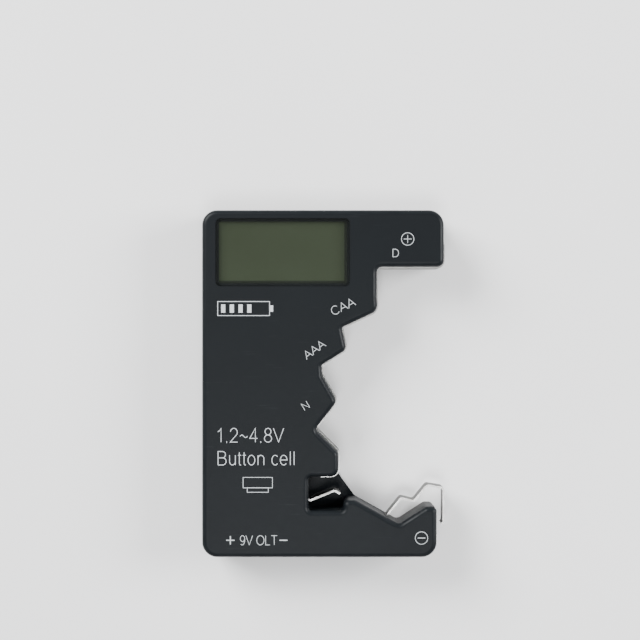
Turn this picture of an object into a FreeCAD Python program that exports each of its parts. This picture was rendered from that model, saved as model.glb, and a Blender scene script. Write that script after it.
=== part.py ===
"""Handheld battery tester: two casing shells, a stepped cell gauge with sprung contacts, a display, a board.

The tester lies on its back. X runs across it, Y up its face and Z out of its face, in millimetres.
The origin is on the back, in the middle of the outline.
"""

import FreeCAD
import Part
import math
import os

Vector = FreeCAD.Vector
FRONT = Vector(0, 0, 1)

# Casing: the width and height follow from the display and the gauge
REAR_DEPTH = 8.0
FRONT_DEPTH = 8.0
SIDE_WALL = 1.8
FACE_WALL = 2.0
BACK_WALL = 2.0
CORNER_RADIUS = 4.0
FRONT_ROUND = 1.3
BACK_ROUND = 1.0
SEAM_STEP = 0.12
SEAM_CHAMFER = 0.25
TONGUE_THICKNESS = 0.7
TONGUE_HEIGHT = 1.2
FIT_GAP = 0.1

# Contact metal
STRIP_THICKNESS = 0.5
STRIP_PROUD = 0.4
STRIP_WIDTH = 8.0
STRIP_WRAP = 6.0
LEAF_THICKNESS = 0.5
LEAF_WIDTH = 7.0
BEND_RADIUS = 0.9
TAB_WIDTH = 3.0
TAB_REACH = 3.2
ANCHOR_REACH = 6.0
ROOT_GAP = 0.06

# Cell gauge: the free gap of each size is a little under the shortest cell of that size
D_ARM_HEIGHT = 15.0
D_GAP = 58.5
D_ARM_REACH = 18.2
D_CORNER_RADIUS = 1.6
AA_GAP = 49.1
AA_TILT = 25.0
AA_SEAT = 9.4
AA_TOOTH_RISE = 3.2
AA_TOOTH_OVERRUN = 1.2
AA_TOOTH_RADIUS = 2.5
AAA_GAP = 43.1
AAA_TILT = 32.0
AAA_SEAT = 7.8
AAA_SIDESTEP = -0.3
N_GAP = 29.5
N_TILT = 51.5
N_SEAT = 9.4
N_NOTCH_RADIUS = 1.4
N_SIDESTEP = 7.7
N_KNEE_DROP = 2.9
N_KNEE_HEADING = -86.0
TOOTH_EASE = 0.4
ARM_EASE = 0.1
NOTCH_RADIUS = 0.9

# Negative leaf, from its root to its tip: length and heading of each flat
N_FLAT = 5.5
N_FLAT_HEADING = N_TILT
STEP_FLAT = 3.6
STEP_FLAT_HEADING = -14.0
AAA_FLAT = 5.5
AAA_FLAT_HEADING = 51.0
D_FLAT = 4.5
D_FLAT_HEADING = -9.0
LEAF_LEG = 9.2
LEAF_HOOK = 0.7
LEAF_HOOK_HEADING = -140.0
LEAF_STANDOFF = 0.6

# Arm under the negative leaf
VEE_REACH = 3.1
VEE_LEFT_SLOPE = 29.0
VEE_RIGHT_SLOPE = 33.0
VEE_RADIUS = 1.5
VEE_FLOOR = 8.75
ARM_WIDTH = 2.8
LEG_RELIEF = 1.9

# Button cell slot
LIP_REACH = 8.8
LIP_SLOPE = 45.0
LIP_HEIGHT = 6.3
LIP_RADIUS = 2.1
LIP_FOLD = 4.7
SLOT_DEPTH = 7.95
SLOT_MOUTH = 6.2
SLOT_HEIGHT = 9.0
PEAK_WIDTH = 3.2
BUTTON_GAP = 3.4
BUTTON_ROOT_RISE = 2.4
BUTTON_ROOT_INSET = 0.7
BUTTON_TAIL_GAP = 0.95
BUTTON_TAIL_LENGTH = 1.6
BUTTON_TAIL_HEADING = -32.0

# Nine volt terminals in the bottom wall
NINE_VOLT_MARGIN = 0.05
NINE_VOLT_PITCH = 12.7
TERMINAL_SIZE = 7.0
TERMINAL_METAL = 0.5
TERMINAL_FLANGE = 0.7
TERMINAL_SINK = 0.3
TERMINAL_TAB_WIDTH = 3.0
TERMINAL_TAB_LENGTH = 3.0

# Display
VIEW_WIDTH = 34.0
VIEW_HEIGHT = 16.4
VIEW_LEFT = 2.6
VIEW_TOP = 1.2
VIEW_RADIUS = 0.6
LENS_BORDER = 0.7
LENS_THICKNESS = 1.0
LENS_SINK = 0.15
GLASS_THICKNESS = 0.7
FILM_THICKNESS = 0.2
GLASS_BORDER = 0.4
GLASS_LEDGE = 2.4
HOLDER_WALL = 0.5
ZEBRA_HEIGHT = 1.6
ZEBRA_WIDTH = 1.6

# Board
BOARD_THICKNESS = 1.2
BOARD_TAIL_LENGTH = 36.0
BOARD_TAIL_INSET = 9.0
BOARD_TAIL_GAP = 2.4
BOARD_EDGE_GAP = 1.2
POST_WALL = 0.9
POST_GAP = 0.5
POST_DROP = 1.0
POST_INSET = 2.2

# Components, on the back of the board
CHIP_RADIUS = 4.5
CHIP_HEIGHT = 1.4
LOAD_RADIUS = 1.1
LOAD_LENGTH = 6.4
LOAD_PITCH = 4.0
LOAD_SPAN = 9.6
LOAD_WIRE = 0.3
CAN_RADIUS = 2.0
CAN_LENGTH = 6.5
CAN_PITCH = 2.0
COIL_RADIUS = 2.3
COIL_HEIGHT = 3.0
COIL_FLANGE = 0.6
COIL_GROOVE = 0.4
SMALL_LENGTH = 2.0
SMALL_WIDTH = 1.25
SMALL_HEIGHT = 0.6
SMALL_PITCH = 2.6
SMALL_COUNT = 5
SMALL_INSET = 3.0
SMALL_DROP = 16.0
LOAD_DROP = 8.0
CAN_INSET = 1.0
CAN_ROUND = 0.4
COIL_INSET = 1.0
COIL_DROP = 2.0

# Fasteners
SCREW_RADIUS = 1.2
SCREW_LENGTH = 8.0
SCREW_HEAD_RADIUS = 2.2
SCREW_HEAD_HEIGHT = 1.5
SCREW_HEAD_ROUND = 0.5
SCREW_SINK = 0.8
BOSS_WALL = 1.3
SCREW_SEAT_WALL = 1.8
UPPER_ARM_SCREW_INSET = 6.0
UPPER_ARM_SCREW_DROP = 7.5
LOWER_ARM_SCREW_INSET = 5.0
LOWER_ARM_SCREW_RISE = 5.7
LEFT_SCREW_INSET = 5.2
LEFT_SCREW_RISE = 15.5
LEFT_SCREW_DROP = 30.0
PILOT_GAP = 0.02
BOARD_SCREW_RADIUS = 0.8
BOARD_SCREW_LENGTH = 3.6
BOARD_SCREW_HEAD_RADIUS = 1.6
BOARD_SCREW_HEAD_HEIGHT = 1.0
CROSS_WIDTH = 0.5
CROSS_SPAN = 2.4
CROSS_DEPTH = 0.7

# Leads
LEAD_RADIUS = 0.55
LEAD_BEND = 2.2
LEAD_BEND_SHARE = 0.45
LEAD_EXIT = 3.0
LEAD_RUN = 8.0
LEAD_FLOOR_GAP = 1.2
LEAD_SEAM_DROP = 2.4
LEAD_SLOT_GAP = 2.4
LEAD_PAD_INSET = 3.0
LEAD_PAD_RISE = 6.0

# Derived places
tooth_radius = FRONT_ROUND + TOOTH_EASE
arm_radius = FRONT_ROUND + ARM_EASE
board_post_radius = BOARD_SCREW_RADIUS + POST_WALL
holder_gap = GLASS_BORDER + FIT_GAP
beside_view = holder_gap + HOLDER_WALL + POST_GAP + 2 * board_post_radius + BOARD_EDGE_GAP + SIDE_WALL
panel_width = SIDE_WALL + VIEW_LEFT + VIEW_WIDTH + beside_view
half_width = (panel_width + D_ARM_REACH) / 2
seam_z = REAR_DEPTH
front_z = REAR_DEPTH + FRONT_DEPTH
casing_right = half_width - STRIP_PROUD
strip_recess = STRIP_THICKNESS - STRIP_PROUD
strip_low = seam_z - STRIP_WIDTH / 2
strip_high = seam_z + STRIP_WIDTH / 2
leaf_low = seam_z - LEAF_WIDTH / 2
leaf_high = seam_z + LEAF_WIDTH / 2
face_inside = front_z - FACE_WALL


def heading(degrees, length=1.0):
    """A vector of that length, turned anticlockwise from +X."""
    angle = math.radians(degrees)
    return Vector(length * math.cos(angle), length * math.sin(angle), 0)


def crossing(point_a, way_a, point_b, way_b):
    """Where two lines in the plane cross."""
    between = point_b - point_a
    turn = way_a.x * way_b.y - way_a.y * way_b.x
    along = (between.x * way_b.y - between.y * way_b.x) / turn
    return point_a + way_a * along


def offset(corners, distance, closed):
    """The corners of a line moved to its left by a distance. A corner is a point and its radius."""
    count = len(corners)
    moved = []
    for i, (point, radius) in enumerate(corners):
        before = corners[i - 1][0] if closed or i > 0 else None
        after = corners[(i + 1) % count][0] if closed or i < count - 1 else None
        way_in = (point - before).normalize() if before is not None else None
        way_out = (after - point).normalize() if after is not None else None
        way_in = way_in or way_out
        way_out = way_out or way_in
        left_in = Vector(-way_in.y, way_in.x, 0)
        left_out = Vector(-way_out.y, way_out.x, 0)
        turn = way_in.x * way_out.y - way_in.y * way_out.x
        if abs(turn) < 1e-6:
            moved.append((point + left_in * distance, radius))
            continue
        corner = crossing(point + left_in * distance, way_in, point + left_out * distance, way_out)
        side = distance if turn > 0 else -distance
        moved.append((corner, max(radius - side, 0.0) if radius else 0.0))
    return moved


def grown(corners, distance):
    """A closed outline, drawn anticlockwise, grown outwards by a distance."""
    return offset(corners, -distance, closed=True)


def fitted(corners):
    """The corners with their radii cut down where two arcs would meet on a short edge."""
    count = len(corners)
    points = [point for point, radius in corners]
    reaches = []
    for i, (point, radius) in enumerate(corners):
        opening = (points[i - 1] - point).getAngle(points[(i + 1) % count] - point)
        reaches.append(radius / math.tan(opening / 2))
    eased = []
    for i, (point, radius) in enumerate(corners):
        share = 1.0
        for k in (i - 1, (i + 1) % count):
            room = (points[k] - point).Length
            share = min(share, room / max(reaches[i] + reaches[k], room))
        eased.append((point, radius * share))
    return eased


def outline_wire(corners):
    """A closed wire through the corners, each rounded to its radius."""
    joints = []
    count = len(corners)
    for i, (point, radius) in enumerate(fitted(corners)):
        to_before = (corners[i - 1][0] - point).normalize()
        to_after = (corners[(i + 1) % count][0] - point).normalize()
        half_angle = to_before.getAngle(to_after) / 2
        if radius < 0.02 or half_angle > math.radians(89.5):
            joints.append((point, point, point))
            continue
        reach = radius / math.tan(half_angle)
        to_centre = (to_before + to_after).normalize() * (radius / math.sin(half_angle))
        middle = point + to_centre - to_centre.normalize() * radius
        joints.append((point + to_before * reach, middle, point + to_after * reach))
    edges = []
    for i, (start, middle, end) in enumerate(joints):
        previous_end = joints[i - 1][2]
        if previous_end.distanceToPoint(start) > 1e-6:
            edges.append(Part.LineSegment(previous_end, start).toShape())
        if start.distanceToPoint(end) > 1e-6:
            edges.append(Part.Arc(start, middle, end).toShape())
    return Part.Wire(edges)


def prism(corners, low, high):
    """An outline raised from one height to another."""
    face = Part.Face(outline_wire(corners))
    face.translate(Vector(0, 0, low))
    return face.extrude(Vector(0, 0, high - low))


def ribbon(path, left, right, low, high):
    """A strip of metal along an open path, between two distances to the left of it."""
    near = offset(path, right, closed=False)
    far = offset(path, left, closed=False)
    return prism(near + far[::-1], low, high)


def block(x_low, x_high, y_low, y_high, z_low, z_high):
    corner = Vector(x_low, y_low, z_low)
    return Part.makeBox(x_high - x_low, y_high - y_low, z_high - z_low, corner)


def peg(centre, radius, low, high):
    return Part.makeCylinder(radius, high - low, Vector(centre.x, centre.y, low), FRONT)


def joined(shapes):
    return shapes[0].fuse(shapes[1:]).removeSplitter() if len(shapes) > 1 else shapes[0]


def without(shape, tools):
    return shape.cut(tools).removeSplitter() if tools else shape


def edges_at(shape, height):
    """The outermost loop of edges that lie at a height."""
    flat = [f for f in shape.Faces if abs(f.BoundBox.ZMin - height) < 1e-6 and f.BoundBox.ZLength < 1e-6]
    return max(flat, key=lambda f: f.BoundBox.DiagonalLength).OuterWire.Edges


# Negative leaf and the vee below it, measured from the leaf's tip
leaf_flats = [
    (N_FLAT, N_FLAT_HEADING),
    (STEP_FLAT, STEP_FLAT_HEADING),
    (AAA_FLAT, AAA_FLAT_HEADING),
    (D_FLAT, D_FLAT_HEADING),
]
leaf_shape = [Vector(0, 0, 0)]
for flat_length, flat_heading in reversed(leaf_flats):
    leaf_shape.insert(0, leaf_shape[0] - heading(flat_heading, flat_length))
leaf_shape.append(heading(-90, LEAF_LEG))
leaf_shape.append(leaf_shape[-1] + heading(LEAF_HOOK_HEADING, LEAF_HOOK))
vee_left_way = heading(180 - VEE_LEFT_SLOPE)
vee_right_way = heading(VEE_RIGHT_SLOPE)
vee_start = leaf_shape[0] - heading(90 - VEE_LEFT_SLOPE, LEAF_STANDOFF)
vee_shape = vee_start - vee_left_way * (VEE_REACH / math.cos(math.radians(VEE_LEFT_SLOPE)))

# Height of the casing, and where the leaf and the vee lie in it
half_height = (D_ARM_HEIGHT + D_GAP + LEAF_THICKNESS - vee_shape.y + VEE_FLOOR) / 2
d_seat_y = half_height - D_ARM_HEIGHT
leaf_tip = Vector(half_width - LEAF_THICKNESS / 2, d_seat_y - D_GAP - LEAF_THICKNESS, 0)
leaf_points = [leaf_tip + point for point in leaf_shape]
leaf_root = leaf_points[0]
vee_bottom = leaf_tip + vee_shape


def seat(landing, gap, tilt, sidestep, length):
    """The lower and upper ends of a positive seat that faces a landing on the negative leaf."""
    middle = landing + heading(tilt + 90, gap) + heading(tilt, sidestep)
    return middle - heading(tilt, length / 2), middle + heading(tilt, length / 2)


n_landing = (leaf_points[0] + leaf_points[1]) / 2
aaa_landing = (leaf_points[2] + leaf_points[3]) / 2
aa_landing = (leaf_points[3] + leaf_points[4]) / 2
n_low, n_high = seat(n_landing, N_GAP, N_TILT, N_SIDESTEP, N_SEAT)
aaa_low, aaa_high = seat(aaa_landing, AAA_GAP, AAA_TILT, AAA_SIDESTEP, AAA_SEAT)
aa_low, aa_high = seat(aa_landing, AA_GAP, AA_TILT, 0, AA_SEAT)

# Button cell slot, below the lip that follows the smallest seat
lip_top = n_low + heading(-LIP_SLOPE, LIP_REACH)
lip_bottom = lip_top + heading(-90, LIP_HEIGHT)
slot_left = lip_bottom.x - SLOT_DEPTH
slot_floor = lip_bottom.y - SLOT_HEIGHT
peak_y = lip_bottom.y - SLOT_MOUTH

# Lower arm, behind the negative leaf and its leg
leg_side = casing_right - LEG_RELIEF
across = Vector(1, 0, 0)
peak_right = crossing(vee_bottom, vee_left_way, Vector(0, peak_y, 0), across)
arm_left = crossing(vee_bottom, vee_right_way, Vector(leg_side - ARM_WIDTH, 0, 0), Vector(0, 1, 0))

# Casing outline, anticlockwise from its lower left corner, and where the stepped strip starts on it
d_inner = Vector(half_width - D_ARM_REACH, d_seat_y, 0)
stepped_edge = [
    (lip_bottom, LIP_RADIUS),
    (lip_top, tooth_radius),
    (n_low, N_NOTCH_RADIUS),
    (n_high, tooth_radius),
    (aaa_low + heading(N_KNEE_HEADING, N_KNEE_DROP), NOTCH_RADIUS),
    (aaa_low, NOTCH_RADIUS),
    (aaa_high, tooth_radius),
    (aa_low, NOTCH_RADIUS),
    (aa_high + heading(AA_TILT, AA_TOOTH_OVERRUN), AA_TOOTH_RADIUS),
    (Vector(d_inner.x, aa_high.y + AA_TOOTH_RISE, 0), NOTCH_RADIUS),
    (d_inner, D_CORNER_RADIUS),
    (Vector(casing_right, d_seat_y, 0), tooth_radius),
]
lower_arm = [
    (Vector(leg_side, arm_left.y, 0), arm_radius),
    (arm_left, arm_radius),
    (vee_bottom, VEE_RADIUS),
    (peak_right, arm_radius),
]
slot_edge = [
    (peak_right - across * PEAK_WIDTH, arm_radius),
    (Vector(peak_right.x - PEAK_WIDTH, slot_floor, 0), NOTCH_RADIUS),
    (Vector(slot_left, slot_floor, 0), NOTCH_RADIUS),
    (Vector(slot_left, lip_bottom.y, 0), NOTCH_RADIUS),
]
box_start = [
    (Vector(-half_width, -half_height, 0), CORNER_RADIUS),
    (Vector(leg_side, -half_height, 0), CORNER_RADIUS),
]
box_end = [
    (Vector(casing_right, half_height, 0), CORNER_RADIUS),
    (Vector(-half_width, half_height, 0), CORNER_RADIUS),
]
front_outline = box_start + lower_arm + slot_edge + stepped_edge + box_end
back_outline = box_start + lower_arm + stepped_edge + box_end


def cavity(wall, low, high):
    """The hollow of the casing inside a wall, clear of the button cell slot."""
    hollow = prism(grown(back_outline, -wall), low, high)
    slot_right = peak_right.x + SLOT_DEPTH
    around_slot = block(slot_left - wall, slot_right, slot_floor - wall, lip_bottom.y + wall, low, high)
    return hollow.cut(around_slot)


# Fastener places
screw_seat = SCREW_SINK + SCREW_HEAD_HEIGHT
boss_low = screw_seat + SCREW_SEAT_WALL
boss_radius = SCREW_RADIUS + BOSS_WALL
case_screw_places = [
    Vector(casing_right - UPPER_ARM_SCREW_INSET, half_height - UPPER_ARM_SCREW_DROP, 0),
    Vector(leg_side - LOWER_ARM_SCREW_INSET, LOWER_ARM_SCREW_RISE - half_height, 0),
    Vector(LEFT_SCREW_INSET - half_width, LEFT_SCREW_RISE - half_height, 0),
    Vector(LEFT_SCREW_INSET - half_width, half_height - LEFT_SCREW_DROP, 0),
]

# Display stack, from the lens back to the board
view_top = half_height - SIDE_WALL - VIEW_TOP
view_low = Vector(SIDE_WALL + VIEW_LEFT - half_width, view_top - VIEW_HEIGHT, 0)
view_high = view_low + Vector(VIEW_WIDTH, VIEW_HEIGHT, 0)
front_glass_z = face_inside - FILM_THICKNESS - GLASS_THICKNESS
rear_glass_z = front_glass_z - GLASS_THICKNESS
board_high = rear_glass_z - ZEBRA_HEIGHT
board_low = board_high - BOARD_THICKNESS
ledge_y = view_low.y - GLASS_BORDER - GLASS_LEDGE
holder_low = Vector(view_low.x - holder_gap - HOLDER_WALL, ledge_y - FIT_GAP - HOLDER_WALL, 0)
holder_high = view_high + Vector(holder_gap + HOLDER_WALL, holder_gap + HOLDER_WALL, 0)

# Board outline
board_right = d_inner.x - SIDE_WALL - BOARD_EDGE_GAP
board_step = holder_low.y - BOARD_EDGE_GAP
tail_left = BOARD_TAIL_INSET - half_width
tail_right = min(n_low.x, aaa_low.x) - SIDE_WALL - BOARD_TAIL_GAP
tail_bottom = board_step - BOARD_TAIL_LENGTH
board_screw_places = [
    Vector(board_right - board_post_radius, d_seat_y - POST_DROP, 0),
    Vector(tail_left + POST_INSET, tail_bottom + POST_INSET, 0),
    Vector(tail_right - POST_INSET, tail_bottom + POST_INSET, 0),
]

# Places of the components
chip_place = Vector((view_low.x + view_high.x) / 2, (view_low.y + view_high.y) / 2, 0)
load_place = Vector((tail_left + tail_right) / 2, board_step - LOAD_DROP, 0)
can_place = Vector(view_high.x - CAN_LENGTH - CAN_INSET, view_high.y - CAN_RADIUS - CAN_INSET, 0)
coil_place = Vector(view_low.x + COIL_RADIUS + COIL_INSET, view_high.y - COIL_RADIUS - COIL_DROP, 0)
resistor_place = Vector(tail_left + SMALL_INSET, board_step - SMALL_DROP, 0)
capacitor_place = Vector(tail_right - SMALL_LENGTH - SMALL_INSET, board_step - SMALL_DROP, 0)

# Nine volt terminals
terminal_inset = CORNER_RADIUS + NINE_VOLT_MARGIN + TERMINAL_FLANGE + TERMINAL_SIZE / 2
terminal_places = [terminal_inset - half_width, terminal_inset + NINE_VOLT_PITCH - half_width]
wall_inside_y = SIDE_WALL - half_height

# Button leaf
button_root = Vector(slot_left + BUTTON_ROOT_INSET, slot_floor + BUTTON_ROOT_RISE, 0)
button_crest_y = lip_bottom.y - STRIP_PROUD - BUTTON_GAP - LEAF_THICKNESS / 2
button_tail_way = heading(BUTTON_TAIL_HEADING, BUTTON_TAIL_LENGTH)
button_crest_x = peak_right.x - PEAK_WIDTH - BUTTON_TAIL_GAP - button_tail_way.x
button_crest = Vector(button_crest_x, button_crest_y, 0)
button_tail = button_crest + button_tail_way

# Solder tab of the stepped strip, in the wall between the two largest seats
tab_y = (d_seat_y + aa_high.y + AA_TOOTH_RISE) / 2


def strip_path():
    """The line of the stepped strip, from the side of the upper arm to under the button cell lip."""
    start = (Vector(casing_right, d_seat_y + STRIP_WRAP, 0), 0)
    end = (Vector(lip_bottom.x - LIP_FOLD, lip_bottom.y, 0), 0)
    return [start] + stepped_edge[::-1] + [end]


def strip_tab(clearance):
    """The solder tab of the stepped strip, or with clearance the slot that it passes through."""
    half = TAB_WIDTH / 2 + clearance
    half_metal = STRIP_THICKNESS / 2 + clearance
    tab_start = d_inner.x - SIDE_WALL - TAB_REACH
    return block(tab_start, d_inner.x, tab_y - half, tab_y + half, seam_z - half_metal, seam_z + half_metal)


def anchor(root, way, reach, clearance, thickness):
    """A straight stub of metal behind a leaf's root, or with clearance the slot that it sits in."""
    start = root + heading(way, LEAF_THICKNESS / 2 + ROOT_GAP)
    path = [(start, 0), (root + heading(way, reach + clearance), 0)]
    half = thickness / 2 + clearance
    return ribbon(path, half, -half, leaf_low - clearance, leaf_high + clearance)


def wall_openings():
    """What the two shells leave open between them for the contact metal."""
    path = strip_path()
    recess = ribbon(path, SIDE_WALL, -strip_recess, strip_low - FIT_GAP, strip_high + FIT_GAP)
    openings = [recess, strip_tab(FIT_GAP)]
    openings.append(anchor(leaf_root, N_FLAT_HEADING + 180, ANCHOR_REACH, FIT_GAP, LEAF_THICKNESS))
    openings.append(anchor(button_root, 180, ANCHOR_REACH, FIT_GAP, LEAF_THICKNESS))
    half = TERMINAL_SIZE / 2 + FIT_GAP
    for x in terminal_places:
        openings.append(
            block(x - half, x + half, -half_height, wall_inside_y, seam_z - half, seam_z + half)
        )
    return openings


def front_shell():
    shell = prism(front_outline, seam_z, front_z)
    shell = shell.makeFillet(FRONT_ROUND, edges_at(shell, front_z))
    shell = shell.makeChamfer(SEAM_CHAMFER, edges_at(shell, seam_z))
    shell = shell.cut(cavity(SIDE_WALL, seam_z, face_inside))
    posts = [peg(p, boss_radius, boss_low + FIT_GAP, face_inside) for p in case_screw_places]
    posts += [peg(p, board_post_radius, board_high, face_inside) for p in board_screw_places]
    shell = joined([shell] + posts)
    rebate_wall = SIDE_WALL - TONGUE_THICKNESS - FIT_GAP
    rebate = cavity(rebate_wall, seam_z, seam_z + TONGUE_HEIGHT + FIT_GAP)
    rebate = rebate.cut(cavity(SIDE_WALL, seam_z, front_z))
    pilots = [
        peg(p, SCREW_RADIUS + PILOT_GAP, boss_low, screw_seat + SCREW_LENGTH + FIT_GAP)
        for p in case_screw_places
    ]
    pilots += [
        peg(p, BOARD_SCREW_RADIUS + PILOT_GAP, board_high, board_low + BOARD_SCREW_LENGTH + FIT_GAP)
        for p in board_screw_places
    ]
    recess = prism(view_corners(LENS_BORDER + FIT_GAP), lens_low(), front_z)
    opening = prism(view_corners(0), face_inside, front_z)
    return without(shell, [rebate, recess, opening] + pilots + wall_openings())


def view_corners(margin):
    """The display's opening, grown by a margin."""
    low = view_low - Vector(margin, margin, 0)
    high = view_high + Vector(margin, margin, 0)
    radius = VIEW_RADIUS + margin
    corners = [low, Vector(high.x, low.y, 0), high, Vector(low.x, high.y, 0)]
    return [(corner, radius) for corner in corners]


def lens_low():
    return front_z - LENS_SINK - LENS_THICKNESS


def rear_cover():
    plate = prism(grown(back_outline, -SEAM_STEP), 0, BACK_WALL)
    plate = plate.makeFillet(BACK_ROUND, edges_at(plate, 0))
    walls = prism(grown(front_outline, -SEAM_STEP), BACK_WALL, seam_z)
    walls = walls.makeChamfer(SEAM_CHAMFER, edges_at(walls, seam_z))
    walls = walls.cut(cavity(SIDE_WALL, BACK_WALL, seam_z))
    tongue = cavity(SIDE_WALL - TONGUE_THICKNESS, BACK_WALL, seam_z + TONGUE_HEIGHT)
    tongue = tongue.cut(cavity(SIDE_WALL, BACK_WALL, seam_z + TONGUE_HEIGHT))
    seat_radius = SCREW_HEAD_RADIUS + FIT_GAP
    bosses = [peg(p, seat_radius + BOSS_WALL, BACK_WALL, boss_low) for p in case_screw_places]
    inside = prism(grown(back_outline, -SIDE_WALL / 2), BACK_WALL, seam_z)
    bosses = [boss.common(inside) for boss in bosses]
    cover = joined([plate, walls, tongue] + bosses)
    holes = [peg(p, seat_radius, 0, screw_seat) for p in case_screw_places]
    holes += [peg(p, SCREW_RADIUS + FIT_GAP, 0, boss_low) for p in case_screw_places]
    return without(cover, holes + wall_openings())


def display_window():
    return prism(view_corners(LENS_BORDER), lens_low(), front_z - LENS_SINK)


def glass_block(margin, bottom, low, high):
    return block(view_low.x - margin, view_high.x + margin, bottom, view_high.y + margin, low, high)


def display_parts():
    """Films, glasses, holder and rubber connectors of the liquid crystal display."""
    view_bottom = view_low.y - GLASS_BORDER
    front_film = glass_block(GLASS_BORDER, view_bottom, face_inside - FILM_THICKNESS, face_inside)
    front_glass = glass_block(GLASS_BORDER, view_bottom, front_glass_z, front_glass_z + GLASS_THICKNESS)
    rear_glass = glass_block(GLASS_BORDER, ledge_y, rear_glass_z, front_glass_z)
    mirror_bottom = view_bottom + ZEBRA_WIDTH
    mirror = glass_block(GLASS_BORDER, mirror_bottom, rear_glass_z - FILM_THICKNESS, rear_glass_z)
    outer = block(holder_low.x, holder_high.x, holder_low.y, holder_high.y, board_high, face_inside)
    outer = outer.common(cavity(SIDE_WALL + FIT_GAP, board_high, face_inside))
    inner = glass_block(holder_gap, ledge_y - FIT_GAP, board_high, face_inside)
    zebra_y = ledge_y + FIT_GAP
    zebra = block(view_low.x, view_high.x, zebra_y, zebra_y + ZEBRA_WIDTH, board_high, rear_glass_z)
    return {
        "display_front_film": front_film,
        "display_front_glass": front_glass,
        "display_rear_glass": rear_glass,
        "display_mirror_film": mirror,
        "display_holder": outer.cut(inner),
        "zebra_connector": zebra,
    }


def circuit_board():
    wide = block(holder_low.x, board_right, board_step, holder_high.y, board_low, board_high)
    tail = block(tail_left, tail_right, tail_bottom, board_step, board_low, board_high)
    holes = [peg(p, BOARD_SCREW_RADIUS + FIT_GAP, board_low, board_high) for p in board_screw_places]
    board = joined([wide, tail]).common(cavity(SIDE_WALL + FIT_GAP, board_low, board_high))
    return without(board, holes)


def cross_slot(centre, head_z):
    """The cross that a screwdriver turns, cut in from below a head."""
    span = CROSS_SPAN / 2
    half = CROSS_WIDTH / 2
    bottom = head_z + CROSS_DEPTH
    along = block(centre.x - span, centre.x + span, centre.y - half, centre.y + half, head_z, bottom)
    over = block(centre.x - half, centre.x + half, centre.y - span, centre.y + span, head_z, bottom)
    return along.fuse(over)


def case_screw(centre):
    head = peg(centre, SCREW_HEAD_RADIUS, SCREW_SINK, screw_seat)
    rim = [e for e in head.Edges if abs(e.BoundBox.ZMax - SCREW_SINK) < 1e-6]
    head = head.makeFillet(SCREW_HEAD_ROUND, rim)
    shank = peg(centre, SCREW_RADIUS, screw_seat, screw_seat + SCREW_LENGTH)
    return without(joined([head, shank]), [cross_slot(centre, SCREW_SINK)])


def board_screw(centre):
    head_z = board_low - BOARD_SCREW_HEAD_HEIGHT
    head = peg(centre, BOARD_SCREW_HEAD_RADIUS, head_z, board_low)
    shank = peg(centre, BOARD_SCREW_RADIUS, board_low, board_low + BOARD_SCREW_LENGTH)
    return without(joined([head, shank]), [cross_slot(centre, head_z)])


def stepped_strip():
    strip = ribbon(strip_path(), STRIP_PROUD, -strip_recess, strip_low, strip_high)
    return joined([strip, strip_tab(0)])


def sprung_leaf(points):
    """A bent leaf with a round root, which it swings about."""
    bends = [(point, BEND_RADIUS) for point in points[1:-1]]
    path = [(points[0], 0)] + bends + [(points[-1], 0)]
    half = LEAF_THICKNESS / 2
    leaf = ribbon(path, half, -half, leaf_low, leaf_high)
    return joined([leaf, peg(points[0], half, leaf_low, leaf_high)])


def terminal(x):
    """A pressed cup of metal that a snap of the battery touches, with its flange behind the wall."""
    half = TERMINAL_SIZE / 2
    flange_half = half + TERMINAL_FLANGE
    face_y = TERMINAL_SINK - half_height
    back_y = wall_inside_y + TERMINAL_METAL
    flange = block(
        x - flange_half, x + flange_half, wall_inside_y, back_y, seam_z - flange_half, seam_z + flange_half
    )
    cup = block(x - half, x + half, face_y, wall_inside_y, seam_z - half, seam_z + half)
    pressed = half - TERMINAL_METAL
    hollow = block(
        x - pressed, x + pressed, face_y + TERMINAL_METAL, back_y, seam_z - pressed, seam_z + pressed
    )
    half_tab = TERMINAL_TAB_WIDTH / 2
    tab = block(
        x - half_tab,
        x + half_tab,
        back_y,
        back_y + TERMINAL_TAB_LENGTH,
        seam_z + pressed,
        seam_z + pressed + TERMINAL_METAL,
    )
    return joined([flange.fuse(cup).cut(hollow), tab])


def tube(points):
    """An insulated lead along straight runs joined by arcs, which each take a share of the shorter run."""
    edges = []
    start = points[0]
    for i in range(1, len(points) - 1):
        to_before = (points[i - 1] - points[i]).normalize()
        to_after = (points[i + 1] - points[i]).normalize()
        half_angle = to_before.getAngle(to_after) / 2
        shorter = min((points[i] - points[i - 1]).Length, (points[i + 1] - points[i]).Length)
        radius = min(LEAD_BEND, LEAD_BEND_SHARE * shorter * math.tan(half_angle))
        reach = radius / math.tan(half_angle)
        to_centre = (to_before + to_after).normalize()
        middle = points[i] + to_centre * (radius / math.sin(half_angle) - radius)
        arc_start = points[i] + to_before * reach
        arc_end = points[i] + to_after * reach
        edges.append(Part.LineSegment(start, arc_start).toShape())
        edges.append(Part.Arc(arc_start, middle, arc_end).toShape())
        start = arc_end
    edges.append(Part.LineSegment(start, points[-1]).toShape())
    path = Part.Wire(edges)
    ring = Part.Wire([Part.makeCircle(LEAD_RADIUS, points[0], points[1] - points[0])])
    return path.makePipeShell([ring], True, False)


def chip_blob():
    """The drop of resin over the bare chip."""
    drop = (CHIP_RADIUS ** 2 + CHIP_HEIGHT ** 2) / (2 * CHIP_HEIGHT)
    centre = Vector(chip_place.x, chip_place.y, board_low + drop - CHIP_HEIGHT)
    ball = Part.makeSphere(drop, centre)
    return ball.common(peg(chip_place, drop, board_low - drop, board_low))


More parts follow.
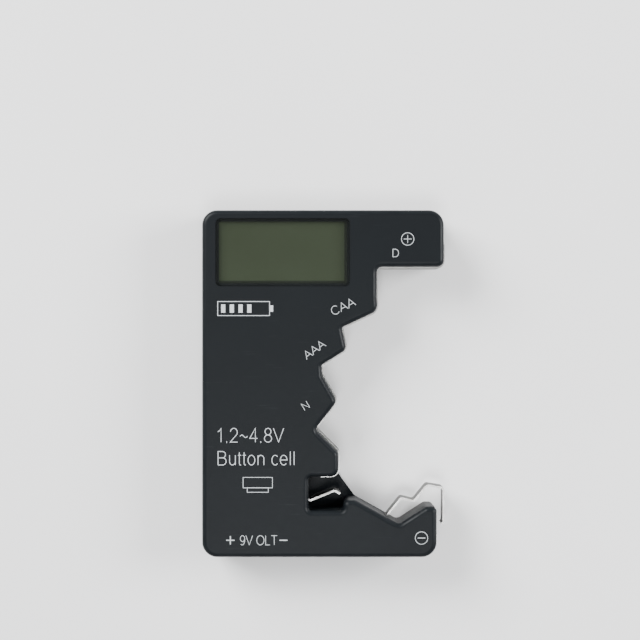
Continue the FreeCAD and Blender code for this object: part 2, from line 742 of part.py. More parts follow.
def load_resistor(centre):
    """A resistor lying under the board, with its two wires bent up to it."""
    axis_z = board_low - LOAD_RADIUS
    start = Vector(centre.x - LOAD_LENGTH / 2, centre.y, axis_z)
    body = Part.makeCylinder(LOAD_RADIUS, LOAD_LENGTH, start, across)
    wire_start = Vector(centre.x - LOAD_SPAN / 2, centre.y, axis_z)
    wire = Part.makeCylinder(LOAD_WIRE, LOAD_SPAN, wire_start, across)
    ends = [peg(wire_start + across * step, LOAD_WIRE, axis_z, board_low) for step in (0, LOAD_SPAN)]
    return joined([body, wire] + ends)


def electrolytic():
    """A capacitor can on its side, with its two wires bent up to the board."""
    axis_z = board_low - CAN_RADIUS
    can = Part.makeCylinder(CAN_RADIUS, CAN_LENGTH, Vector(can_place.x, can_place.y, axis_z), across)
    can = can.makeFillet(CAN_ROUND, can.Edges)
    wires = []
    for side in (-CAN_PITCH / 2, CAN_PITCH / 2):
        start = Vector(can_place.x - CAN_PITCH, can_place.y + side, axis_z)
        wires.append(Part.makeCylinder(LOAD_WIRE, CAN_PITCH + CAN_RADIUS, start, across))
        wires.append(peg(start, LOAD_WIRE, axis_z, board_low))
    return joined([can] + wires)


def boost_coil():
    """A drum of ferrite with its winding between two flanges."""
    low = board_low - COIL_HEIGHT
    flanges = [peg(coil_place, COIL_RADIUS, low, low + COIL_FLANGE)]
    flanges.append(peg(coil_place, COIL_RADIUS, board_low - COIL_FLANGE, board_low))
    waist = peg(coil_place, COIL_RADIUS - COIL_GROOVE, low, board_low)
    return joined(flanges + [waist])


def small_parts(first):
    """A column of chip parts on the back of the board."""
    blocks = []
    for i in range(SMALL_COUNT):
        y = first.y - i * SMALL_PITCH
        blocks.append(
            block(first.x, first.x + SMALL_LENGTH, y, y + SMALL_WIDTH, board_low - SMALL_HEIGHT, board_low)
        )
    return Part.makeCompound(blocks)


def leads():
    """The leads from the contacts to the back of the board."""
    deep = BACK_WALL + LEAD_FLOOR_GAP
    mid = seam_z - LEAD_SEAM_DROP
    strip_end = Vector(d_inner.x - SIDE_WALL - TAB_REACH, tab_y, seam_z)
    leaf_end = leaf_root + heading(N_FLAT_HEADING + 180, ANCHOR_REACH) + FRONT * seam_z
    button_end = button_root + heading(180, ANCHOR_REACH) + FRONT * seam_z
    tab_end_y = wall_inside_y + TERMINAL_METAL + TERMINAL_TAB_LENGTH
    tab_z = seam_z + TERMINAL_SIZE / 2 - TERMINAL_METAL / 2
    plus_end = Vector(terminal_places[0], tab_end_y, tab_z)
    minus_end = Vector(terminal_places[1], tab_end_y, tab_z)
    below_slot = slot_floor - SIDE_WALL - LEAD_SLOT_GAP
    pad_y = tail_bottom + LEAD_PAD_RISE
    pad_pitch = (tail_right - tail_left - 2 * LEAD_PAD_INSET) / 3
    pad_x = [tail_left + LEAD_PAD_INSET + i * pad_pitch for i in range(4)]
    leftwards = Vector(-LEAD_EXIT, 0, 0)
    upwards = Vector(0, LEAD_EXIT, 0)

    def to_pad(x):
        return [Vector(x, pad_y, mid), Vector(x, pad_y, board_low)]

    return {
        "positive_lead": tube([
            strip_end,
            strip_end + leftwards,
            Vector(strip_end.x - 2 * LEAD_EXIT, tab_y, mid),
            Vector(strip_end.x - 3 * LEAD_EXIT, tab_y, mid),
            Vector(strip_end.x - 3 * LEAD_EXIT, tab_y, board_low),
        ]),
        "negative_lead": tube([
            leaf_end,
            leaf_end + heading(N_FLAT_HEADING + 180, LEAD_EXIT),
            Vector(leaf_end.x - LEAD_RUN, below_slot, deep),
            Vector(slot_left - LEAD_EXIT, below_slot, deep),
            Vector(pad_x[2], slot_floor + LEAD_EXIT, deep),
            Vector(pad_x[2], pad_y - LEAD_RUN, mid),
        ] + to_pad(pad_x[2])),
        "button_lead": tube([
            button_end,
            button_end + leftwards,
            Vector(pad_x[3], button_end.y + LEAD_RUN, mid),
        ] + to_pad(pad_x[3])),
        "nine_volt_positive_lead": tube([
            plus_end,
            plus_end + upwards,
            Vector(pad_x[0], plus_end.y + LEAD_RUN, mid),
        ] + to_pad(pad_x[0])),
        "nine_volt_negative_lead": tube([
            minus_end,
            minus_end + upwards,
            Vector(pad_x[1], minus_end.y + LEAD_RUN, mid),
        ] + to_pad(pad_x[1])),
    }


def parts():
    leaf_anchor_way = N_FLAT_HEADING + 180
    made = {
        "front_shell": front_shell(),
        "rear_cover": rear_cover(),
        "display_window": display_window(),
        "circuit_board": circuit_board(),
        "case_screws": Part.makeCompound([case_screw(p) for p in case_screw_places]),
        "board_screws": Part.makeCompound([board_screw(p) for p in board_screw_places]),
        "stepped_strip": stepped_strip(),
        "negative_leaf": sprung_leaf(leaf_points),
        "negative_anchor": anchor(leaf_root, leaf_anchor_way, ANCHOR_REACH, 0, LEAF_THICKNESS),
        "button_leaf": sprung_leaf([button_root, button_crest, button_tail]),
        "button_anchor": anchor(button_root, 180, ANCHOR_REACH, 0, LEAF_THICKNESS),
        "nine_volt_positive": terminal(terminal_places[0]),
        "nine_volt_negative": terminal(terminal_places[1]),
    }
    made["chip_blob"] = chip_blob()
    loads = [load_resistor(load_place + Vector(0, side, 0)) for side in (-LOAD_PITCH / 2, LOAD_PITCH / 2)]
    made["load_resistors"] = Part.makeCompound(loads)
    made["electrolytic_capacitor"] = electrolytic()
    made["boost_coil"] = boost_coil()
    made["chip_resistors"] = small_parts(resistor_place)
    made["chip_capacitors"] = small_parts(capacitor_place)
    made.update(display_parts())
    made.update(leads())
    return made


os.makedirs("parts", exist_ok=True)
for node, shape in parts().items():
    shape.exportStep("parts/" + node + ".step")
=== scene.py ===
"""Looks of the battery tester: materials, printed marks, floor, light and camera."""

import math

import bmesh
import bpy
from mathutils import Matrix, Vector


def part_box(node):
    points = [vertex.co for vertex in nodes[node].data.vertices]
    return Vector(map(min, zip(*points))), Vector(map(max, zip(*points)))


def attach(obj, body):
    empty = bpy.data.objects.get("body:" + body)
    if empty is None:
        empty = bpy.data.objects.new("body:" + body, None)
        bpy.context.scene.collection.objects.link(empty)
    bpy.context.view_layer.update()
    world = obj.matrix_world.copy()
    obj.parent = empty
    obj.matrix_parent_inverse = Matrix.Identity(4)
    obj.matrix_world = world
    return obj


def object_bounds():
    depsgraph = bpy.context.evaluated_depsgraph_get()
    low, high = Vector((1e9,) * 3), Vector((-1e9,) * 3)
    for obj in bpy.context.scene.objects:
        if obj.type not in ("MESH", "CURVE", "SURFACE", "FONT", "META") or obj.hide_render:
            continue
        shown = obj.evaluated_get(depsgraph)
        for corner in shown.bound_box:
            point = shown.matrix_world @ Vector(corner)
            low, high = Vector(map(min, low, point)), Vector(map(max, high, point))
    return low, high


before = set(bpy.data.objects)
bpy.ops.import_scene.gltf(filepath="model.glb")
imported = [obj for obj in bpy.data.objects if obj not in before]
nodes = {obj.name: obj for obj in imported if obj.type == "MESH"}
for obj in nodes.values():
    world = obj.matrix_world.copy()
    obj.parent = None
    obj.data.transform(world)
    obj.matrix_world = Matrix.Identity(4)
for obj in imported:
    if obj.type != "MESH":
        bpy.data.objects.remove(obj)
cad_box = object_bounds()

MM = 0.001
face_z = cad_box[1].z / MM

# Studio, in metres. A lamp has a name, a place, a width and a power in watts.
FLOOR_SIZE = 6.0
FLOOR_DROP = 0.0001
SKY_COLOUR = (0.93, 0.96, 1.0, 1.0)
SKY_STRENGTH = 0.4
LAMPS = [
    ("key", (-0.60, 0.55, 0.65), 0.55, 22.0),
    ("side", (0.75, 0.15, 0.50), 0.40, 11.0),
    ("low", (-0.02, -0.26, 0.88), 0.26, 5.0),
]

# Camera, in metres above the face, and what the photograph spans there. The sensor is in millimetres.
CAMERA_DISTANCE = 0.45
SENSOR_WIDTH = 36.0
PHOTO_SPAN = 0.1693
PHOTO_CENTRE = (-0.00099, 0.01687)

# Ink of the print, in millimetres: its thickness and the weights of its lines
INK_THICKNESS = 0.02
FINE = 0.14
BOLD = 0.185
HEAVY = 0.26

# Coats of ink step up by a share of the thickness, in turn over a few levels
COAT_STEP = 0.1
COAT_LEVELS = 3

# Sharp corners of a line stay short, because the cosine that widens them is held at this or more
MITRE_LIMIT = 0.5

# Signs of the cell gap, in millimetres
SIGN_RADIUS = 1.72
PLUS_CENTRE = (22.2, 38.3)
PLUS_LENGTH = 2.1
MINUS_CENTRE = (25.86, -40.8)
MINUS_LENGTH = 2.0

# Words beside the seats: text, centre and size in millimetres, and turn in degrees
SEAT_WORDS = [
    ("D", (19.05, 34.6), (1.65, 2.15), 0.0),
    ("CAA", (5.1, 20.45), (6.7, 2.35), 25.0),
    ("AAA", (-2.5, 9.05), (6.4, 2.2), 35.5),
    ("N", (-4.83, -5.8), (1.65, 2.1), 31.0),
]

# Marks of the voltage, the button cell and the nine volt block, in millimetres
VOLTAGE_CENTRE = (-19.3, -13.6)
VOLTAGE_SIZE = (17.6, 3.85)
BUTTON_CENTRE = (-17.9, -19.7)
BUTTON_SIZE = (20.3, 3.75)
BUTTON_CAN_CENTRE = (-17.45, -26.15)
BUTTON_CAN_SIZE = (7.9, 2.9)
BUTTON_CAP_CENTRE = (-17.45, -28.1)
BUTTON_CAP_SIZE = (5.7, 1.35)
BLOCK_PLUS_CENTRE = (-24.7, -41.4)
BLOCK_PLUS_LENGTH = 2.2
BLOCK_CENTRE = (-17.2, -41.4)
BLOCK_SIZE = (9.9, 2.6)
BLOCK_MINUS_CENTRE = (-10.65, -41.4)
BLOCK_MINUS_LENGTH = 2.1

# Drawing of a battery with level bars, in millimetres
LEVEL_CENTRE = (-21.2, 19.9)
LEVEL_SIZE = (13.9, 3.9)
LEVEL_TIP_X = -13.8
LEVEL_TIP_HEIGHT = 1.7
LEVEL_TIP_WIDTH = 0.8
LEVEL_BAR_COUNT = 4
LEVEL_BAR_START = -26.6
LEVEL_BAR_PITCH = 2.3
LEVEL_BAR_HEIGHT = 2.2
LEVEL_BAR_WIDTH = 1.1

# Colour sockets of a mix node, by number because its other sockets have the same names
MIX_FIRST = 6
MIX_SECOND = 7
MIX_RESULT = 2


class Shader:
    """A material under construction, with short names for the nodes it uses."""

    def __init__(self, name):
        self.material = bpy.data.materials.new(name)
        self.material.use_nodes = True
        self.tree = self.material.node_tree
        self.surface = self.tree.nodes["Principled BSDF"]
        self.place = self.tree.nodes.new("ShaderNodeTexCoord").outputs["Object"]

    def set(self, **values):
        """Set inputs of the surface, named with underscores in place of spaces."""
        for name, value in values.items():
            self.surface.inputs[name.replace("_", " ")].default_value = value

    def link(self, source, name):
        """Feed an input of the surface from another node."""
        self.tree.links.new(source, self.surface.inputs[name])

    def stretched(self, scale):
        """Places on the object, scaled along each axis."""
        mapping = self.tree.nodes.new("ShaderNodeMapping")
        mapping.inputs["Scale"].default_value = scale
        self.tree.links.new(self.place, mapping.inputs["Vector"])
        return mapping.outputs["Vector"]

    def noise(self, scale, detail=3.0, stretch=None):
        """Noise from 0 to 1. The scale is in features to a metre."""
        node = self.tree.nodes.new("ShaderNodeTexNoise")
        node.inputs["Scale"].default_value = scale
        node.inputs["Detail"].default_value = detail
        place = self.stretched(stretch) if stretch else self.place
        self.tree.links.new(place, node.inputs["Vector"])
        return node.outputs["Fac"]

    def ramp(self, source, low, high, bottom=0.0, top=1.0):
        """A value carried from one range to another, and held at its ends."""
        node = self.tree.nodes.new("ShaderNodeMapRange")
        node.interpolation_type = "SMOOTHSTEP"
        for name, value in zip(("From Min", "From Max", "To Min", "To Max"), (low, high, bottom, top)):
            node.inputs[name].default_value = value
        self.tree.links.new(source, node.inputs["Value"])
        return node.outputs["Result"]

    def math(self, operation, first, second):
        """A sum, product or the like of two values, each one given or taken from another node."""
        node = self.tree.nodes.new("ShaderNodeMath")
        node.operation = operation
        for source, socket in zip((first, second), node.inputs):
            if isinstance(source, float):
                socket.default_value = source
            else:
                self.tree.links.new(source, socket)
        return node.outputs["Value"]

    def mix(self, share, first, second):
        """A colour between two, each one given or taken from another node."""
        node = self.tree.nodes.new("ShaderNodeMix")
        node.data_type = "RGBA"
        self.tree.links.new(share, node.inputs["Factor"])
        for source, socket in zip((first, second), (node.inputs[MIX_FIRST], node.inputs[MIX_SECOND])):
            if isinstance(source, tuple):
                socket.default_value = (*source, 1.0)
            else:
                self.tree.links.new(source, socket)
        return node.outputs[MIX_RESULT]

    def bump(self, height, depth, strength):
        """Tilt the surface as if it rose by a depth in metres where the height is 1."""
        node = self.tree.nodes.new("ShaderNodeBump")
        node.inputs["Distance"].default_value = depth
        node.inputs["Strength"].default_value = strength
        self.tree.links.new(height, node.inputs["Height"])
        self.link(node.outputs["Normal"], "Normal")

    def edge(self):
        """1 on the rounded edges of the casing, 0 on its flat faces and upright walls."""
        normal = self.tree.nodes.new("ShaderNodeTexCoord").outputs["Normal"]
        split = self.tree.nodes.new("ShaderNodeSeparateXYZ")
        self.tree.links.new(normal, split.inputs[0])
        tilt = self.math("ABSOLUTE", split.outputs["Z"], 0.0)
        off_wall = self.ramp(tilt, 0.15, 0.4)
        off_face = self.ramp(tilt, 0.995, 0.93)
        return self.math("MULTIPLY", off_wall, off_face)


def casing_plastic():
    """Black moulded plastic with a fine grain, rubbed smoother along its rounded edges."""
    look = Shader("casing_plastic")
    dark = (0.0029, 0.0041, 0.0053)
    light = (0.0041, 0.0057, 0.0071)
    worn = (0.014, 0.016, 0.018)
    colour = look.mix(look.noise(70.0), dark, light)
    scratch = look.ramp(look.noise(90.0, detail=4.0, stretch=(1.0, 22.0, 6.0)), 0.66, 0.72)
    colour = look.mix(look.math("MULTIPLY", scratch, 0.35), colour, worn)
    edge = look.edge()
    patches = look.ramp(look.noise(260.0, detail=4.0), 0.3, 0.65, bottom=0.35, top=1.0)
    rubbed = look.math("MULTIPLY", edge, patches)
    colour = look.mix(look.math("MULTIPLY", rubbed, 0.5), colour, worn)
    look.link(colour, "Base Color")
    rough = look.ramp(look.noise(700.0), 0.2, 0.8, bottom=0.445, top=0.475)
    look.link(look.math("SUBTRACT", rough, look.math("MULTIPLY", rubbed, 0.14)), "Roughness")
    look.set(Specular_IOR_Level=0.12)
    look.bump(look.noise(5200.0, detail=2.0), depth=0.04 * MM, strength=0.35)
    return look.material


def contact_metal():
    """Nickel plated spring strip with rolling lines along it and a little tarnish."""
    look = Shader("contact_metal")
    lines = look.noise(40.0, detail=4.0, stretch=(1.0, 1.0, 120.0))
    tarnish = look.ramp(look.noise(420.0, detail=5.0), 0.45, 0.75)
    dark = (0.32, 0.32, 0.315)
    light = (0.44, 0.44, 0.43)
    dull = (0.24, 0.22, 0.19)
    colour = look.mix(lines, dark, light)
    look.link(look.mix(look.math("MULTIPLY", tarnish, 0.4), colour, dull), "Base Color")
    rough = look.ramp(lines, 0.3, 0.7, bottom=0.29, top=0.38)
    look.link(look.math("ADD", rough, look.math("MULTIPLY", tarnish, 0.12)), "Roughness")
    look.set(Metallic=1.0, Specular_Tint=(0.30, 0.30, 0.30, 1.0))
    look.bump(lines, depth=0.03 * MM, strength=0.3)
    return look.material


def screw_steel():
    """Zinc plated steel, a little dull, with turning marks."""
    look = Shader("screw_steel")
    spots = look.noise(900.0, detail=4.0)
    bright = (0.50, 0.50, 0.49)
    dull = (0.36, 0.37, 0.39)
    look.link(look.mix(look.ramp(spots, 0.35, 0.7), bright, dull), "Base Color")
    look.link(look.ramp(spots, 0.3, 0.7, bottom=0.28, top=0.46), "Roughness")
    look.set(Metallic=1.0)
    look.bump(look.noise(3000.0, detail=2.0, stretch=(1.0, 1.0, 4.0)), depth=0.03 * MM, strength=0.3)
    return look.material


def window_plastic():
    """Clear window, nearly invisible, with faint smudges in its gloss."""
    look = Shader("window_plastic")
    smudge = look.noise(60.0, detail=2.0)
    dark = (0.014, 0.017, 0.013)
    light = (0.022, 0.025, 0.021)
    look.link(look.mix(smudge, dark, light), "Base Color")
    look.link(look.ramp(smudge, 0.0, 1.0, bottom=0.05, top=0.11), "Roughness")
    look.set(Alpha=0.15, Specular_IOR_Level=0.15, IOR=1.49)
    return look.material


def display_film(box):
    """Grey green face of an unlit liquid crystal display, with faint mottling, soft bands of painted
    sheen and painted shade along its right and bottom edges.
    """
    look = Shader("display_film")
    mottle = look.noise(90.0, detail=1.0)
    # Painted sheen: soft lighter bands across the film, standing in for a reflection
    sheen_bands = look.ramp(look.noise(26.0, detail=0.5, stretch=(0.5, 2.4, 1.0)), 0.3, 0.7)
    dark = (0.0350, 0.0450, 0.0257)
    light = (0.0400, 0.0509, 0.0300)
    painted_sheen = (0.0427, 0.0555, 0.0316)
    # Painted shade: the film is darkened along its right and bottom edges, inside the rim of the opening
    painted_shade = (0.006, 0.007, 0.007)
    shade_width = 0.9 * MM
    shade_reach = 1.3 * MM
    colour = look.mix(mottle, dark, light)
    colour = look.mix(look.math("MULTIPLY", sheen_bands, 0.5), colour, painted_sheen)
    split = look.tree.nodes.new("ShaderNodeSeparateXYZ")
    look.tree.links.new(look.place, split.inputs[0])
    low, high = box
    # Mask of the painted shade along the right and bottom edges of the film
    right = look.ramp(split.outputs["X"], high.x - shade_reach, high.x - shade_width)
    bottom = look.ramp(split.outputs["Y"], low.y + shade_reach, low.y + shade_width)
    edge_shade = look.math("MAXIMUM", right, bottom)
    look.link(look.mix(look.math("MULTIPLY", edge_shade, 0.8), colour, painted_shade), "Base Color")
    look.link(look.ramp(look.noise(120.0, detail=1.0), 0.3, 0.7, bottom=0.34, top=0.38), "Roughness")
    look.set(Specular_IOR_Level=0.08)
    look.bump(look.noise(9000.0, detail=1.0), depth=0.01 * MM, strength=0.2)
    return look.material


def plain(name, dark, light, scale, rough, stretch=None):
    """A surface whose colour and roughness wander between two values, with a matching grain."""
    look = Shader(name)
    spread = 0.06
    grain = look.noise(scale, detail=4.0, stretch=stretch)
    look.link(look.mix(look.ramp(grain, 0.35, 0.65), dark, light), "Base Color")
    look.link(look.ramp(grain, 0.3, 0.7, bottom=rough - spread, top=rough + spread), "Roughness")
    look.bump(grain, depth=0.03 * MM, strength=0.25)
    return look.material


def board_mask():
    """Green solder mask with the lighter bands of the copper tracks under it."""
    look = Shader("board_mask")
    wave = look.tree.nodes.new("ShaderNodeTexWave")
    wave.inputs["Scale"].default_value = 240.0
    wave.inputs["Distortion"].default_value = 3.0
    look.tree.links.new(look.place, wave.inputs["Vector"])
    tracks = look.ramp(wave.outputs["Fac"], 0.62, 0.7)
    mask = (0.010, 0.075, 0.030)
    track = (0.022, 0.120, 0.050)
    look.link(look.mix(tracks, mask, track), "Base Color")
    look.link(look.ramp(look.noise(400.0), 0.3, 0.7, bottom=0.28, top=0.42), "Roughness")
    look.bump(tracks, depth=0.03 * MM, strength=0.4)
    return look.material


def ink():
    """Pale printing ink, worn through in specks."""
    look = Shader("ink")
    worn = look.ramp(look.noise(2600.0, detail=4.0), 0.62, 0.74)
    thin = (0.42, 0.45, 0.465)
    full = (0.52, 0.55, 0.565)
    bare = (0.10, 0.11, 0.12)
    tone = look.mix(look.noise(500.0), thin, full)
    look.link(look.mix(look.math("MULTIPLY", worn, 0.55), tone, bare), "Base Color")
    look.link(look.ramp(look.noise(900.0), 0.3, 0.7, bottom=0.48, top=0.66), "Roughness")
    return look.material


def dress(material, *names):
    """Give CAD nodes a material in place of the one they came with."""
    for name in names:
        slots = nodes[name].data.materials
        slots.clear()
        slots.append(material)


def dress_nodes():
    """A material for every CAD node."""
    metal = contact_metal()
    casing = casing_plastic()
    film = display_film(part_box("display_front_film"))
    glass = plain("display_glass", (0.30, 0.34, 0.28), (0.36, 0.40, 0.33), 300.0, 0.12)
    steel = screw_steel()
    red = plain("red_lead", (0.30, 0.012, 0.012), (0.42, 0.020, 0.018), 600.0, 0.46)
    black = plain("black_lead", (0.012, 0.012, 0.013), (0.024, 0.024, 0.026), 600.0, 0.46)
    dress(casing, "front_shell", "rear_cover")
    dress(window_plastic(), "display_window")
    dress(film, "display_front_film", "display_mirror_film")
    dress(glass, "display_front_glass", "display_rear_glass")
    dress(metal, "stepped_strip", "negative_leaf", "negative_anchor", "button_leaf", "button_anchor")
    dress(metal, "nine_volt_positive", "nine_volt_negative")
    dress(steel, "case_screws", "board_screws")
    dress(board_mask(), "circuit_board")
    dress(plain("holder", (0.62, 0.62, 0.59), (0.72, 0.72, 0.69), 500.0, 0.5), "display_holder")
    zebra = plain("zebra", (0.03, 0.03, 0.03), (0.45, 0.42, 0.40), 60.0, 0.6, stretch=(90.0, 1.0, 1.0))
    dress(zebra, "zebra_connector")
    dress(plain("resin", (0.008, 0.008, 0.009), (0.018, 0.018, 0.020), 700.0, 0.22), "chip_blob")
    dress(plain("lacquer", (0.42, 0.31, 0.18), (0.52, 0.40, 0.25), 800.0, 0.34), "load_resistors")
    sleeve = plain("can_sleeve", (0.02, 0.03, 0.07), (0.03, 0.045, 0.10), 700.0, 0.3)
    dress(sleeve, "electrolytic_capacitor")
    dress(plain("ferrite", (0.025, 0.025, 0.027), (0.045, 0.045, 0.048), 1500.0, 0.6), "boost_coil")
    dress(plain("film", (0.010, 0.010, 0.012), (0.022, 0.022, 0.024), 1500.0, 0.4), "chip_resistors")
    dress(plain("ceramic", (0.33, 0.24, 0.14), (0.42, 0.31, 0.19), 1500.0, 0.45), "chip_capacitors")
    dress(red, "positive_lead", "nine_volt_positive_lead")
    dress(black, "negative_lead", "nine_volt_negative_lead", "button_lead")


def arc(x, y, across, up, start, end, steps=14):
    """Points along part of an ellipse, between two angles in degrees."""
    angles = [math.radians(start + (end - start) * i / steps) for i in range(steps + 1)]
    return [(x + across * math.cos(angle), y + up * math.sin(angle)) for angle in angles]


def loop(x, y, across, up):
    """A whole ellipse, which ends where it starts."""
    points = arc(x, y, across, up, 0, 360, 28)
    return points[:-1] + points[:1]


# Letters of the print: the room each takes and its strokes, in capital heights from its base line
SMALL_HEIGHT = 0.72
LETTERS = {
    " ": (0.39, []),
    "A": (0.93, [[(0, 0), (0.42, 1), (0.84, 0)], [(0.15, 0.34), (0.69, 0.34)]]),
    "B": (0.93, [
        [(0, 0), (0, 1), *arc(0.36, 0.765, 0.25, 0.235, 90, -90), (0, 0.53)],
        [*arc(0.38, 0.265, 0.28, 0.265, 90, -90), (0, 0)],
    ]),
    "C": (1.01, [arc(0.43, 0.5, 0.43, 0.5, 42, 318, 24)]),
    "D": (1.01, [[(0, 0.5), (0, 1), *arc(0.30, 0.5, 0.44, 0.5, 90, -90, 20), (0, 0), (0, 0.5)]]),
    "L": (0.78, [[(0, 1), (0, 0), (0.54, 0)]]),
    "N": (1.01, [[(0, 0), (0, 1), (0.70, 0), (0.70, 1)]]),
    "O": (1.09, [loop(0.46, 0.5, 0.46, 0.5)]),
    "T": (0.85, [[(0, 1), (0.74, 1)], [(0.37, 1), (0.37, 0)]]),
    "V": (0.93, [[(0, 1), (0.42, 0), (0.84, 1)]]),
    "1": (0.78, [[(0, 0.74), (0.16, 0.84), (0.26, 1), (0.26, 0)]]),
    "2": (0.78, [[*arc(0.30, 0.71, 0.28, 0.29, 172, -32), (0, 0), (0.60, 0)]]),
    "4": (0.78, [[(0.46, 0), (0.46, 1), (0, 0.27), (0.63, 0.27)]]),
    "8": (0.78, [loop(0.29, 0.76, 0.24, 0.24), loop(0.29, 0.26, 0.29, 0.26)]),
    "9": (0.78, [loop(0.28, 0.68, 0.28, 0.32), arc(0.24, 0.50, 0.32, 0.50, 20, -125)]),
    ".": (0.39, [[(0, -0.05), (0, 0.06)]]),
    "~": (0.82, [[(0.60 * i / 20, 0.42 + 0.09 * math.sin(math.pi * i / 10)) for i in range(21)]]),
    "u": (0.78, [
        [(0, SMALL_HEIGHT), *arc(0.24, 0.26, 0.24, 0.26, 180, 360)],
        [(0.48, SMALL_HEIGHT), (0.48, 0)],
    ]),
    "t": (0.39, [
        [(0.11, 0.94), *arc(0.22, 0.12, 0.11, 0.12, 180, 290)],
        [(0, SMALL_HEIGHT), (0.26, SMALL_HEIGHT)],
    ]),
    "o": (0.78, [loop(0.28, 0.36, 0.28, 0.36)]),
    "n": (0.78, [[(0, SMALL_HEIGHT), (0, 0)], [*arc(0.24, 0.46, 0.24, 0.26, 180, 0), (0.48, 0)]]),
    "c": (0.70, [arc(0.27, 0.36, 0.27, 0.36, 45, 315, 20)]),
    "e": (0.78, [[(0, 0.37), *arc(0.28, 0.36, 0.28, 0.36, 2, 318, 20)]]),
    "l": (0.31, [[(0, 0), (0, 1)]]),
}


class Print:
    """Marks printed on the face, gathered in one mesh. Places and sizes are in millimetres."""

    def __init__(self):
        self.mesh = bmesh.new()
        self.coats = 0

    def line(self, points, weight, closed=False):
        """A thin raised line of that weight. Lines that cross differ in height, as coats of ink do."""
        self.coats += 1
        low = face_z - INK_THICKNESS / 2
        high = face_z + INK_THICKNESS * (1 + COAT_STEP * (self.coats % COAT_LEVELS))
        count = len(points)
        rings = []
        for i, point in enumerate(points):
            before = points[i - 1] if closed or i > 0 else None
            after = points[(i + 1) % count] if closed or i < count - 1 else None
            way_in = (point - before).normalized() if before else (after - point).normalized()
            way_out = (after - point).normalized() if after else way_in
            across = (way_in + way_out).normalized().orthogonal()
            reach = weight / 2 / max(across.dot(way_in.orthogonal()), MITRE_LIMIT)
            left = point + across * reach
            right = point - across * reach
            corners = ((*left, low), (*right, low), (*right, high), (*left, high))
            rings.append([self.mesh.verts.new(corner) for corner in corners])
        for i in range(count if closed else count - 1):
            first = rings[i]
            second = rings[(i + 1) % count]
            for side in range(len(first)):
                following = (side + 1) % len(first)
                self.mesh.faces.new((first[side], first[following], second[following], second[side]))
        if not closed:
            self.mesh.faces.new(rings[0])
            self.mesh.faces.new(rings[-1])

    def words(self, text, centre, size, weight, turn=0.0):
        """Lettering that fills a width and a height, turned about its centre by degrees."""
        width, height = size
        strokes = []
        pen = 0.0
        for letter in text:
            room, shapes = LETTERS[letter]
            ink_width = max((x for shape in shapes for x, y in shape), default=0.0)
            start = pen + (room - ink_width) / 2
            strokes += [[Vector((x + start, y)) for x, y in shape] for shape in shapes]
            pen += room
        left = min(point.x for stroke in strokes for point in stroke)
        right = max(point.x for stroke in strokes for point in stroke)
        stretch = Vector(((width - weight) / (right - left), height - weight))
        spin = Matrix.Rotation(math.radians(turn), 2)
        middle = Vector(((left + right) / 2, 0.5))
        for stroke in strokes:
            closed = stroke[0] == stroke[-1]
            points = [Vector(centre) + spin @ ((point - middle) * stretch) for point in stroke]
            self.line(points[:-1] if closed else points, weight, closed)

    def bar(self, centre, length, weight, upright=False):
        """A straight line, level or upright."""
        half = Vector((0, length / 2)) if upright else Vector((length / 2, 0))
        self.line([Vector(centre) - half, Vector(centre) + half], weight)

    def plus(self, centre, length, weight):
        """A plus sign of two bars."""
        self.bar(centre, length, weight)
        self.bar(centre, length, weight, upright=True)

    def frame(self, centre, size, weight):
        """A drawn rectangle, whose line lies inside that width and height."""
        x, y = centre
        width, height = size
        right = (width - weight) / 2
        top = (height - weight) / 2
        corners = [(x - right, y - top), (x + right, y - top), (x + right, y + top), (x - right, y + top)]
        self.line([Vector(corner) for corner in corners], weight, closed=True)

    def ring(self, centre, radius, weight):
        """A drawn circle, whose line lies inside that radius."""
        reach = radius - weight / 2
        self.line([Vector(point) for point in loop(*centre, reach, reach)[:-1]], weight, closed=True)

    def finish(self, name):
        """Make the marks into a piece that rides on the casing."""
        bmesh.ops.scale(self.mesh, vec=(MM, MM, MM), verts=self.mesh.verts)
        bmesh.ops.recalc_face_normals(self.mesh, faces=self.mesh.faces)
        mesh = bpy.data.meshes.new(name)
        self.mesh.to_mesh(mesh)
        self.mesh.free()
        mesh.materials.append(ink())
        piece = bpy.data.objects.new(name, mesh)
        bpy.context.scene.collection.objects.link(piece)
        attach(piece, "casing")


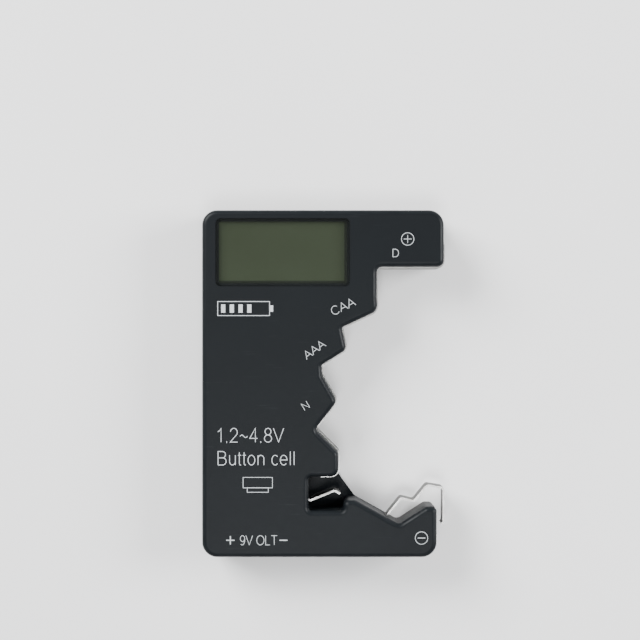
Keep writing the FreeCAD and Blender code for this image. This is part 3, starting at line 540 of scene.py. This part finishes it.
def print_marks():
    """All the print on the face, in three pieces."""
    cells = Print()
    cells.ring(PLUS_CENTRE, SIGN_RADIUS, FINE)
    cells.plus(PLUS_CENTRE, PLUS_LENGTH, FINE)
    for text, centre, size, turn in SEAT_WORDS:
        cells.words(text, centre, size, FINE, turn)
    cells.ring(MINUS_CENTRE, SIGN_RADIUS, FINE)
    cells.bar(MINUS_CENTRE, MINUS_LENGTH, BOLD)
    cells.finish("cell_marks")

    values = Print()
    values.words("1.2~4.8V", VOLTAGE_CENTRE, VOLTAGE_SIZE, BOLD)
    values.words("Button cell", BUTTON_CENTRE, BUTTON_SIZE, BOLD)
    values.frame(BUTTON_CAN_CENTRE, BUTTON_CAN_SIZE, FINE)
    values.frame(BUTTON_CAP_CENTRE, BUTTON_CAP_SIZE, FINE)
    values.plus(BLOCK_PLUS_CENTRE, BLOCK_PLUS_LENGTH, HEAVY)
    values.words("9V OLT", BLOCK_CENTRE, BLOCK_SIZE, FINE)
    values.bar(BLOCK_MINUS_CENTRE, BLOCK_MINUS_LENGTH, HEAVY)
    values.finish("value_marks")

    level = Print()
    row = LEVEL_CENTRE[1]
    level.frame(LEVEL_CENTRE, LEVEL_SIZE, BOLD)
    level.bar((LEVEL_TIP_X, row), LEVEL_TIP_HEIGHT, LEVEL_TIP_WIDTH, upright=True)
    for step in range(LEVEL_BAR_COUNT):
        place = LEVEL_BAR_START + step * LEVEL_BAR_PITCH
        level.bar((place, row), LEVEL_BAR_HEIGHT, LEVEL_BAR_WIDTH, upright=True)
    level.finish("level_marks")


def studio():
    """Pale floor, even sky and three soft lamps that point at the tester."""
    bpy.ops.mesh.primitive_plane_add(size=FLOOR_SIZE, location=(0, 0, -FLOOR_DROP))
    floor = bpy.context.object
    floor.name = "floor"
    floor.data.materials.append(plain("floor", (0.84, 0.84, 0.84), (0.87, 0.87, 0.87), 8.0, 0.7))

    world = bpy.data.worlds.new("studio")
    world.use_nodes = True
    sky = world.node_tree.nodes["Background"]
    sky.inputs["Color"].default_value = SKY_COLOUR
    sky.inputs["Strength"].default_value = SKY_STRENGTH
    bpy.context.scene.world = world

    for name, place, size, power in LAMPS:
        light = bpy.data.lights.new(name, "AREA")
        light.size = size
        light.energy = power
        lamp = bpy.data.objects.new(name, light)
        lamp.location = place
        lamp.rotation_euler = (-Vector(place)).to_track_quat("-Z", "Y").to_euler()
        bpy.context.scene.collection.objects.link(lamp)


def camera():
    """Straight down on the face, with the size and place that the tester has in the photograph."""
    lens = bpy.data.cameras.new("camera")
    lens.sensor_width = SENSOR_WIDTH
    lens.lens = SENSOR_WIDTH * CAMERA_DISTANCE / PHOTO_SPAN
    eye = bpy.data.objects.new("camera", lens)
    eye.location = (*PHOTO_CENTRE, face_z * MM + CAMERA_DISTANCE)
    bpy.context.scene.collection.objects.link(eye)
    bpy.context.scene.camera = eye


dress_nodes()
print_marks()
studio()
camera()
